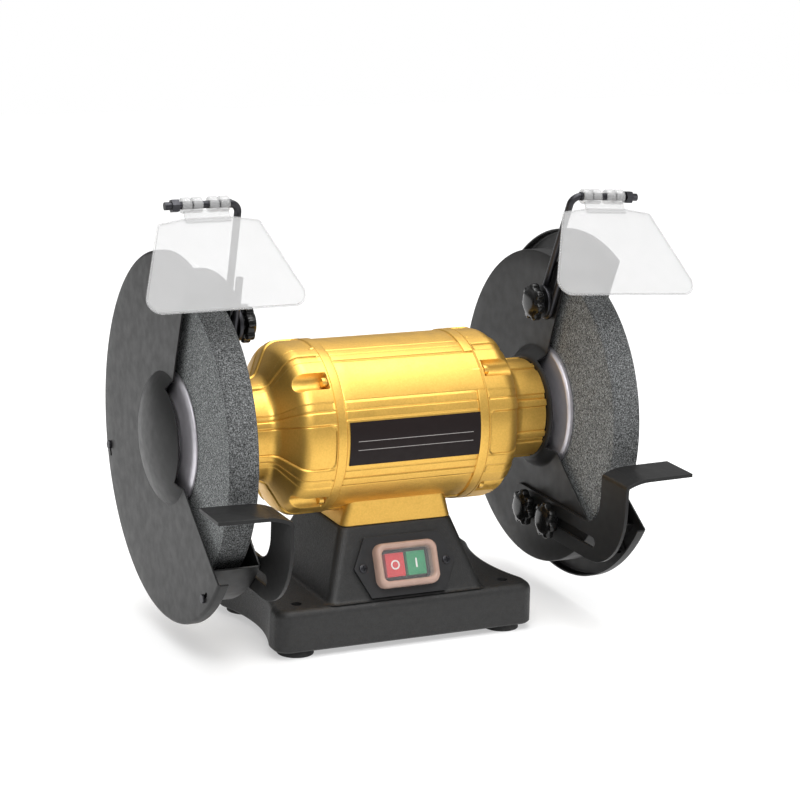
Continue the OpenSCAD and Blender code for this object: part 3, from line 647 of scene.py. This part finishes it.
def wheel(side):
    """A wheel whose rim has its own look."""
    bore, edge = 16, 1.5
    near, far = WHEEL_X
    outline = [(near, bore), (near, 60), (near, 90), (near, WHEEL_R - edge), (near + edge, WHEEL_R)]
    outline += [(far - edge, WHEEL_R), (far, WHEEL_R - edge), (far, 90), (far, 60), (far, bore)]
    piece = mirrored(turned("abrasive_" + side, outline, 256), side)
    add(piece, "spindle", "abrasive", replaces=["wheel_" + side])
    piece.data.materials.append(WHEEL_RIM.material)
    for face in piece.data.polygons:
        if math.hypot(face.center.y, face.center.z - SPINDLE_Z * MM) > (WHEEL_R - edge) * MM:
            face.material_index = 1


def sheet_shell(name, path, opening, side):
    """A revolved sheet with a V-shaped opening outside the lobe."""
    start, end = opening
    sheet_steps, opening_steps = 240, 96
    angles = list(np.linspace(end, start + 360, sheet_steps + 1))
    angles += list(np.linspace(start, end, opening_steps + 1)[1:-1] + 360)
    columns = len(angles)
    path = np.array(path, float)
    points = around_spindle(path[:, 0:1], path[:, 1:2], np.radians(angles)[None, :])
    faces = []
    for i in range(len(path) - 1):
        inside_lobe = max(path[i][1], path[i + 1][1]) <= LOBE_R + 0.01
        here, beyond = i * columns, (i + 1) * columns
        for j in range(columns if inside_lobe else sheet_steps):
            j2 = (j + 1) % columns
            faces.append((here + j, here + j2, beyond + j2, beyond + j))
    used = sorted({v for face in faces for v in face})
    index = {v: k for k, v in enumerate(used)}
    faces = [tuple(index[v] for v in face) for face in faces]
    piece = new_piece(name, points[used], faces, 50)
    return mirrored(piece, side)


def thicken(piece, depth):
    """Gives an open sheet its thickness, away from the side that its normals face."""
    solid = piece.modifiers.new("solid", "SOLIDIFY")
    solid.thickness = depth * MM
    solid.offset = -1
    solid.use_even_offset = True
    edge = piece.modifiers.new("edge", "BEVEL")
    edge.width = 0.35 * MM
    edge.segments = 2
    edge.limit_method = "ANGLE"
    edge.angle_limit = math.radians(50)
    edge.harden_normals = True


def face_outwards(piece, direction):
    """Turns a sheet's normals so that most of them face along a direction."""
    total = sum((f.normal * f.area for f in piece.data.polygons), Vector())
    if total.dot(Vector(direction)) < 0:
        piece.data.flip_normals()


def cover_face(radius):
    """The cover's outer face, flat with a full dome in its middle."""
    return COVER_X + COVER_DOME * (1 - min(radius / DOME_R, 1) ** 2) ** 0.7


def guard_cover(side):
    bend = 3
    radii = [0.0] + list(np.linspace(2, LOBE_R, 24)) + list(np.linspace(LOBE_R, DOME_R, 6)[1:])
    radii += [70, 90, 110, 130, COVER_R - bend]
    path = [(cover_face(r), r) for r in radii]
    path += [(COVER_X - bend + bend * math.sin(a), COVER_R - bend + bend * math.cos(a))
             for a in np.linspace(math.pi / 2, 0, 7)[1:]]
    path += [(COVER_X - RIM_DEPTH, COVER_R)]
    piece = sheet_shell("cover_" + side, path, COVER_OPENING[side], side)
    face_outwards(piece, (SIDES[side], 0, 0))
    thicken(piece, SHEET)
    add(piece, "stand", "sheet_black", replaces=["guard_cover_" + side])


def shell_face(radius):
    """The inner disc, with a shallow dome that reaches back to the bell's neck."""
    flat, depth = 44, DISC_X - NECK_X
    t = min(max((radius - flat) / (DOME_R - flat), 0), 1)
    return DISC_X - depth * (1 + math.cos(math.pi * t)) / 2


def guard_shell(side):
    """The inner disc with the band round the wheel, and the lugs that the cover is screwed to."""
    dome = list(np.linspace(44, DOME_R, 12))
    radii = sorted({21, 30, 40, 43, LOBE_R, *dome, 62, 75, 90, 105, 120, SHELL_R - 1.5})
    path = [(shell_face(r), r) for r in radii]
    path += [(DISC_X + 0.4, SHELL_R - 0.4), (DISC_X + 1.5, SHELL_R), (COVER_X - SHEET, SHELL_R)]
    piece = sheet_shell("shell_" + side, path, SHELL_OPENING, side)
    face_outwards(piece, (-SIDES[side], 0, 0))
    thicken(piece, SHEET)
    add(piece, "stand", "sheet_black", replaces=["guard_shell_" + side])
    root, tip = SHELL_R - 1.5, LUG_R + 6
    ring = rounded_rect(tip - root, 16, 3)
    for number, angle in enumerate(LUG_ANGLES):
        turn = Matrix.Rotation(math.radians(-angle), 4, "X")
        place = Matrix.Translation((COVER_X - 2 * SHEET, 0, SPINDLE_Z)) @ turn
        points = [(h, -(x + (tip + root) / 2), y) for h in (0, SHEET) for x, y in ring]
        lug = new_piece(f"lug_{side}_{number}", [place @ Vector(p) for p in points],
                        capped_faces(2, len(ring)))
        add(mirrored(lug, side), "stand", "sheet_black")


def keyholes(side):
    """Painted shade in the slots beside the heads of the cover's screws: near-black pieces that hardly reflect."""
    width, length = 3.4, 10
    ring = np.array(rounded_rect(width, length, width / 2))
    for number, angle in enumerate(LUG_ANGLES):
        turn = math.radians(angle) + (ring[:, 1] + length / 2) / LUG_R
        points = [around_spindle(COVER_X + h, LUG_R + ring[:, 0], turn) for h in (-0.3, 0.04)]
        slot = new_piece(f"keyhole_{side}_{number}", np.concatenate(points), capped_faces(2, len(ring)))
        add(mirrored(slot, side), "stand", "sheet_black", SLOT_SHADOW)


# ---- stand ----

def polar_radius(outline, angle):
    """How far an outline reaches from its middle in a direction."""
    outline = np.array(outline)
    angles = np.unwrap(np.arctan2(outline[:, 1], outline[:, 0]))
    order = np.argsort(angles)
    angles, radii = angles[order], np.hypot(*outline.T)[order]
    return np.interp(angle, angles, radii, period=2 * math.pi)


def foot_outline(inset):
    """Plan of the foot flange, with a shallow waist at each end."""
    waist, corner = 10, 12
    half, depth = BASE_HALF - inset, BASE_DEPTH - inset
    waist_r = ((0.72 * BASE_DEPTH) ** 2 + waist ** 2) / (2 * waist)
    plan = rounded_rect(2 * half, 2 * depth, corner - min(inset, 8) * 0.6, 12)
    shaped = []
    for x, y in resampled(plan, 2):
        limit = half - waist + waist_r - math.sqrt(max(waist_r ** 2 - y * y, 0))
        if abs(x) > 20 and abs(x) > limit:
            x = math.copysign(limit, x)
        shaped.append((x, y))
    return shaped


def plan_angles():
    """Directions spread evenly along the foot's edge rather than by angle."""
    t = np.linspace(0, 2 * math.pi, 720, endpoint=False)
    return np.arctan2(np.sin(t) * BASE_DEPTH, np.cos(t) * BASE_HALF)


def stand_casting():
    """The foot flange, recessed a little underneath, and the tapered pedestal on it."""
    flange_edge, fillet, top_edge = 7, 2.5, 2
    angles = plan_angles()

    def ring(outline, z):
        radius = polar_radius(outline, angles)
        return [(r * math.cos(a), r * math.sin(a)) for r, a in zip(radius, angles)], z

    def pedestal(z, grow=0.0):
        t = (z - FLANGE_TOP) / (BASE_TOP - FLANGE_TOP)
        half = [a + (b - a) * t + grow for a, b in zip(PEDESTAL_LOW, PEDESTAL_HIGH)]
        return ring(resampled(rounded_rect(2 * half[0], 2 * half[1], 8, 10), 3), z)

    rings = [ring(foot_outline(inset), BASE_LOW + up)
             for inset, up in ((7, 6), (7, 0.5), (5, 0), (1.2, 0), (0, 1.5))]
    rings.append(ring(foot_outline(0.2), 22))
    for a in np.radians(np.linspace(0, 90, 7)):
        inset = flange_edge * (1 - math.cos(a))
        rings.append(ring(foot_outline(0.4 + inset), FLANGE_TOP - flange_edge + flange_edge * math.sin(a)))
    for a in np.radians(np.linspace(0, 90, 5)):
        rings.append(pedestal(FLANGE_TOP + fillet * (1 - math.cos(a)), fillet * (1 - math.sin(a))))
    rings += [pedestal(z) for z in np.linspace(FLANGE_TOP + fillet + 4, BASE_TOP - top_edge - 0.5, 8)]
    for a in np.radians(np.linspace(20, 90, 4)):
        rings.append(pedestal(BASE_TOP - top_edge + top_edge * math.sin(a), -top_edge * (1 - math.cos(a))))
    piece = lofted("stand_casting", rings, sharp=50)
    holes = [(sx * BOLT_HALF[0], sy * BOLT_HALF[1]) for sx in (-1, 1) for sy in (-1, 1)]
    cutters = [cylinder(f"hole_{number}", x, y, FLANGE_TOP + 18, BOLT_HOLE_R)
               for number, (x, y) in enumerate(holes)]
    cut(piece, cutters + [switch_recess()])
    add(piece, "stand", "cast", replaces=["base"])


# ---- switch ----

def on_face():
    """The pedestal's front face at the switch: X across, Y up the slope and Z outwards."""
    lean = Matrix.Rotation(math.pi / 2 - FACE_LEAN, 4, "X")
    return Matrix.Translation((0, *FACE_FOOT)) @ lean @ Matrix.Translation((0, SWITCH_UP, 0))


def switch_recess():
    """The hole in the pedestal for the switch's body."""
    window = rounded_rect(44, 30, 2)
    return lofted("recess", [(window, -20), (window, 12)], on_face())


def boot():
    """The soft frame round the buttons, and the thin window that covers them."""
    width, height, corner = 57, 38, 8
    profile = ((0, 0), (0.1, 4), (0.4, 6.5), (1.2, 8.2), (2.4, 8.95), (3.8, 8.95), (4.9, 8.1),
               (5.6, 6.6), (6, 4), (6, 0))
    rings = [(rounded_rect(width - 2 * inset, height - 2 * inset, corner - 0.6 * inset), SWITCH_PLATE + z)
             for inset, z in profile]
    border = lofted("boot_frame", rings, on_face(), cap=False, sharp=60)
    add(border, "stand", "boot", replaces=["switch_cover"])
    pane, crown = rounded_rect(46, 27, 4), rounded_rect(40, 21, 4)
    rings = [(pane, SWITCH_PLATE + 6), (pane, SWITCH_PLATE + 6.4), (crown, SWITCH_PLATE + 6.9)]
    add(lofted("boot_window", rings, on_face()), "stand", "boot", clear_look("boot_window", 0.1))


def button_mark(name, body, centre_x, off):
    """A raised generic sign: a ring for off, a bar for on."""
    rise, sunk, above_plate = 0.25, -0.2, 2.5
    place = on_face() @ Matrix.Translation((centre_x, 0, SWITCH_PLATE + above_plate))
    white = plastic_look(name + "_paint", (0.8, 0.78, 0.76), 0.4)
    if off:
        outer, inner = rounded_rect(8, 8, 3.99, 10), rounded_rect(5.6, 5.6, 2.79, 10)
        rings = [(outer, sunk), (outer, rise), (inner, rise), (inner, sunk)]
        piece = lofted(name, rings, place, cap=False)
    else:
        bar = rounded_rect(1.4, 8, 0.6, 4)
        piece = lofted(name, [(bar, sunk), (bar, rise)], place)
    add(piece, body, "red" if off else "green", white)


def cross_screw(name, place, radius, height):
    """A low domed head with a cross recess."""
    side = 0.45
    profile = [(radius, 0), (radius, height * side)]
    profile += [(radius * math.cos(a), height * (side + (1 - side) * math.sin(a)))
                for a in np.linspace(0.15, math.pi / 2 - 0.1, 7)]
    head = lofted(name, [(circle(r), z) for r, z in profile], place)
    slot_w, slot_l = radius * 0.28, radius * 1.25
    cutters = []
    for width, length in ((slot_w, slot_l), (slot_l, slot_w)):
        plan = rounded_rect(width, length, 0.05, 1)
        cutters.append(lofted(name + "_slot", [(plan, height * 0.35), (plan, height + 2)], place))
    return cut(head, cutters)


def switch_screws():
    for number, x in enumerate((-SWITCH_SCREW_X, SWITCH_SCREW_X)):
        place = on_face() @ Matrix.Translation((x, 0, SWITCH_PLATE))
        head = cross_screw(f"switch_screw_{number}", place, 3.6, 1.6)
        add(head, "stand", "black_screw", replaces=["switch_screws"] if number == 0 else [])


# ---- knobs ----

def star_knob(node):
    """A seven-lobed knob with a domed cap that faces the motor."""
    lobes, steps = 7, 168
    centre = anchor(node + "_turn")
    base_x = max(low(node)[0], high(node)[0], key=abs)
    inward = -1 if base_x > 0 else 1
    # Height over the base, mean radius and how far the lobes swing about it.
    profile = [(0, 5, 0), (0, 9, 0), (2.8, 9, 0), (3.0, 12.6, 1.0), (3.6, 14.2, 1.4), (4.4, 14.6, 1.4),
               (9.0, 14.6, 1.4), (9.9, 14.2, 1.3), (10.4, 13.2, 1.0), (10.6, 12.2, 0.3),
               (11.3, 11.6, 0), (12.2, 10.2, 0), (12.9, 7.8, 0), (13.3, 4.8, 0), (13.5, 1.5, 0)]
    t = np.linspace(0, 2 * math.pi, steps, endpoint=False)
    wave = np.tanh(1.8 * np.cos(lobes * t)) / math.tanh(1.8)
    rings = []
    for height, radius, swing in profile:
        r = radius + swing * wave
        rings.append((list(zip(r * np.cos(t), r * np.sin(t))), height))
    turn = Matrix.Rotation(math.pi / 2 * inward, 4, "Y")
    place = Matrix.Translation((base_x, centre[1], centre[2])) @ turn
    piece = lofted(node + "_star", rings, place, sharp=45)
    add(piece, node, "knob", replaces=[node])


# ---- eye shields ----

def shield_place(side):
    """The shield's frame: X along its rod, Y up the sheet and Z towards the operator."""
    joint = JOINTS[f"eye_shield_{side}_tilt"]
    across = Vector(joint["axis"]).normalized()
    tilt = math.radians(SHIELD_TILT)
    up = Vector((0, math.sin(tilt), math.cos(tilt)))
    up = (up - across * up.dot(across)).normalized()
    normal = across.cross(up)
    turn = Matrix((across, up, normal)).transposed().to_4x4()
    start = Vector(anchor(joint["name"]))
    start += across * (SIDES[side] * SHIELD_X - start.x) / across.x
    return Matrix.Translation(start) @ turn


def shield_outline(inset):
    """The sheet: a shallow roof, splayed sides and rounded corners."""
    right = [(20, -11.5, 2), (43, -15.5, 4), (71.5, -SHIELD_LOW, 12)]
    corners = right + [(-x, y, radius) for x, y, radius in right[::-1]]
    points = []
    count = len(corners)
    for i, (x, y, radius) in enumerate(corners):
        here = Vector((x, y))
        before = (Vector(corners[i - 1][:2]) - here).normalized()
        after = (Vector(corners[(i + 1) % count][:2]) - here).normalized()
        half = before.angle(after) / 2
        reach = radius / math.tan(half)
        centre = here + (before + after).normalized() * (radius / math.sin(half))
        a = here + before * reach - centre
        b = here + after * reach - centre
        for k in range(9):
            t = k / 8
            spoke = (a * (1 - t) + b * t).normalized() * (radius - inset)
            points.append(tuple(centre + spoke))
    return points


def eye_shield(side):
    """The clear sheet with its thicker border, and the loops that hold it on its rod."""
    body = "eye_shield_" + side
    place = shield_place(side)
    inset, half, bead = 1.6, 0.9, 0.9
    sheet = lofted(f"shield_sheet_{side}", [(shield_outline(inset), z) for z in (-half, half)], place)
    add(sheet, body, "clear", replaces=[body])
    rings = [(shield_outline(bead - bead * math.cos(a)), bead * math.sin(a))
             for a in np.linspace(0, 2 * math.pi, 12, endpoint=False)]
    border = lofted(f"shield_border_{side}", rings, place, cap=False, sharp=60)
    add(border, body, "clear", CLEAR_EDGE)
    neck = [(-19, -16), (19, -16), (19, -5), (-19, -5)]
    add(soften(lofted(f"shield_neck_{side}", [(neck, -1.2), (neck, 1.2)], place), 0.4),
        body, "clear", CLEAR_EDGE)
    # Each loop's section, as the distance from its middle plane and the radius.
    section = ((-3.8, 4.0), (-3.8, 5.9), (-3.1, 6.4), (3.1, 6.4), (3.8, 5.9), (3.8, 4.0),
               (3.0, 3.4), (-3.0, 3.4))
    rings = [(circle(radius), height) for height, radius in section]
    for number, x in enumerate((-15.9, -6.8, 6.8, 15.9)):
        turn = Matrix.Translation((x, 0, 0)) @ Matrix.Rotation(math.pi / 2, 4, "Y")
        loop = lofted(f"shield_loop_{side}_{number}", rings, place @ turn, cap=False, sharp=50)
        add(loop, body, "clear", CLEAR_EDGE)


# ---- the frame's own nodes ----

ROUND_RODS = ("shield_arm_left", "shield_arm_right")


def dress_frame():
    """Gives each CAD node its slot's material, and slightly rounded edges unless it is bent rod."""
    slots = {part["node"]: part["material_slot"] for part in frame["record"]["subparts"]}
    for node, piece in frame["nodes"].items():
        dress(piece, LOOKS[slots[node]])
        if node not in ROUND_RODS:
            soften(piece, 0.3)


# ---- floor, lights and camera ----

def sky():
    """A white backdrop for the camera, and a softer dome for the light and the reflections."""
    world = bpy.data.worlds.new("studio")
    bpy.context.scene.world = world
    world.use_nodes = True
    tree = world.node_tree
    dome = tree.nodes["Background"]
    backdrop = tree.nodes.new("ShaderNodeBackground")
    backdrop.inputs["Color"].default_value = (1, 1, 1, 1)
    place = tree.nodes.new("ShaderNodeTexCoord")
    axes = tree.nodes.new("ShaderNodeSeparateXYZ")
    ramp = tree.nodes.new("ShaderNodeValToRGB")
    for element, (at, level) in zip(ramp.color_ramp.elements, ((0.5, 0.15), (1.0, 0.9))):
        element.position = at
        element.color = (level, level, level, 1)
    middle_stop = ramp.color_ramp.elements.new(0.68)
    middle_stop.color = (0.4, 0.4, 0.4, 1)
    scale = tree.nodes.new("ShaderNodeMapRange")
    scale.inputs["From Min"].default_value = -1
    tree.links.new(place.outputs["Generated"], axes.inputs["Vector"])
    tree.links.new(axes.outputs["Z"], scale.inputs["Value"])
    tree.links.new(scale.outputs["Result"], ramp.inputs["Fac"])
    tree.links.new(ramp.outputs["Color"], dome.inputs["Color"])
    path = tree.nodes.new("ShaderNodeLightPath")
    mix = tree.nodes.new("ShaderNodeMixShader")
    tree.links.new(path.outputs["Is Camera Ray"], mix.inputs["Fac"])
    tree.links.new(dome.outputs["Background"], mix.inputs[1])
    tree.links.new(backdrop.outputs["Background"], mix.inputs[2])
    tree.links.new(mix.outputs["Shader"], tree.nodes["World Output"].inputs["Surface"])


def lamp(name, light, place):
    """Hangs a light at a place and points it at the spindle."""
    holder = bpy.data.objects.new(name, light)
    bpy.context.scene.collection.objects.link(holder)
    holder.location = place
    aim = Vector((0, 0, SPINDLE_Z * MM)) - Vector(place)
    holder.rotation_euler = aim.to_track_quat("-Z", "Y").to_euler()


def studio():
    floor_look = Look("studio_floor", (0.55, 0.55, 0.55), 0.7, ior=1.2)
    floor_look.shade(floor_look.noise(300, 1), 0.01)
    floor_look.shader.inputs["Emission Color"].default_value = (1, 1, 1, 1)
    floor_look.shader.inputs["Emission Strength"].default_value = 0.47
    half = 3000
    floor = new_piece("floor", [(-half, -half, 0), (half, -half, 0), (half, half, 0), (-half, half, 0)],
                      [(0, 1, 2, 3)])
    dress(floor, floor_look)
    sky()
    sun = bpy.data.lights.new("sun", "SUN")
    sun.energy = 1.9
    sun.angle = math.radians(70)
    lamp("sun", sun, (-0.2, -0.5, 2))
    for name, place, size, power in (("key", (-0.7, -1.2, 1.5), 0.6, 11),
                                     ("top", (0.2, 0.1, 1.8), 1.0, 14),
                                     ("right", (1.7, -0.8, 0.8), 0.6, 7)):
        light = bpy.data.lights.new(name, "AREA")
        light.size = size
        light.energy = power
        lamp(name, light, place)


def camera():
    """A long lens that looks from the left of the machine's front, a little from above."""
    azimuth, elevation, roll = (math.radians(a) for a in (25.639, 14.426, 2.024))
    distance, lens = 2.1125, 111.73
    forward = Vector((math.sin(azimuth) * math.cos(elevation), math.cos(azimuth) * math.cos(elevation),
                      -math.sin(elevation)))
    right = Vector((math.cos(azimuth), -math.sin(azimuth), 0))
    up = right.cross(forward)
    across = right * math.cos(roll) + up * math.sin(roll)
    upward = up * math.cos(roll) - right * math.sin(roll)
    aim = Vector((0, 0, 0.17746)) + 0.01853 * across + 0.01681 * upward
    eye = bpy.data.cameras.new("camera")
    eye.lens = lens
    eye.clip_start = 0.05
    eye.clip_end = 50
    holder = bpy.data.objects.new("camera", eye)
    bpy.context.scene.collection.objects.link(holder)
    turn = Matrix((across, upward, -forward)).transposed().to_4x4()
    holder.matrix_world = Matrix.Translation(aim - forward * distance) @ turn
    bpy.context.scene.camera = holder


dress_frame()
barrel()
saddle()
name_plate()
stand_casting()
boot()
button_mark("mark_off", "button_off", -10, True)
button_mark("mark_on", "button_on", 9.5, False)
switch_screws()
for side_name in SIDES:
    bell(side_name)
    wheel(side_name)
    guard_cover(side_name)
    guard_shell(side_name)
    keyholes(side_name)
    eye_shield(side_name)
    star_knob("shield_knob_" + side_name)
    star_knob(f"rest_knob_{side_name}_rear")
    star_knob(f"rest_knob_{side_name}_front")
studio()
camera()
bpy.context.scene.view_settings.view_transform = "Standard"
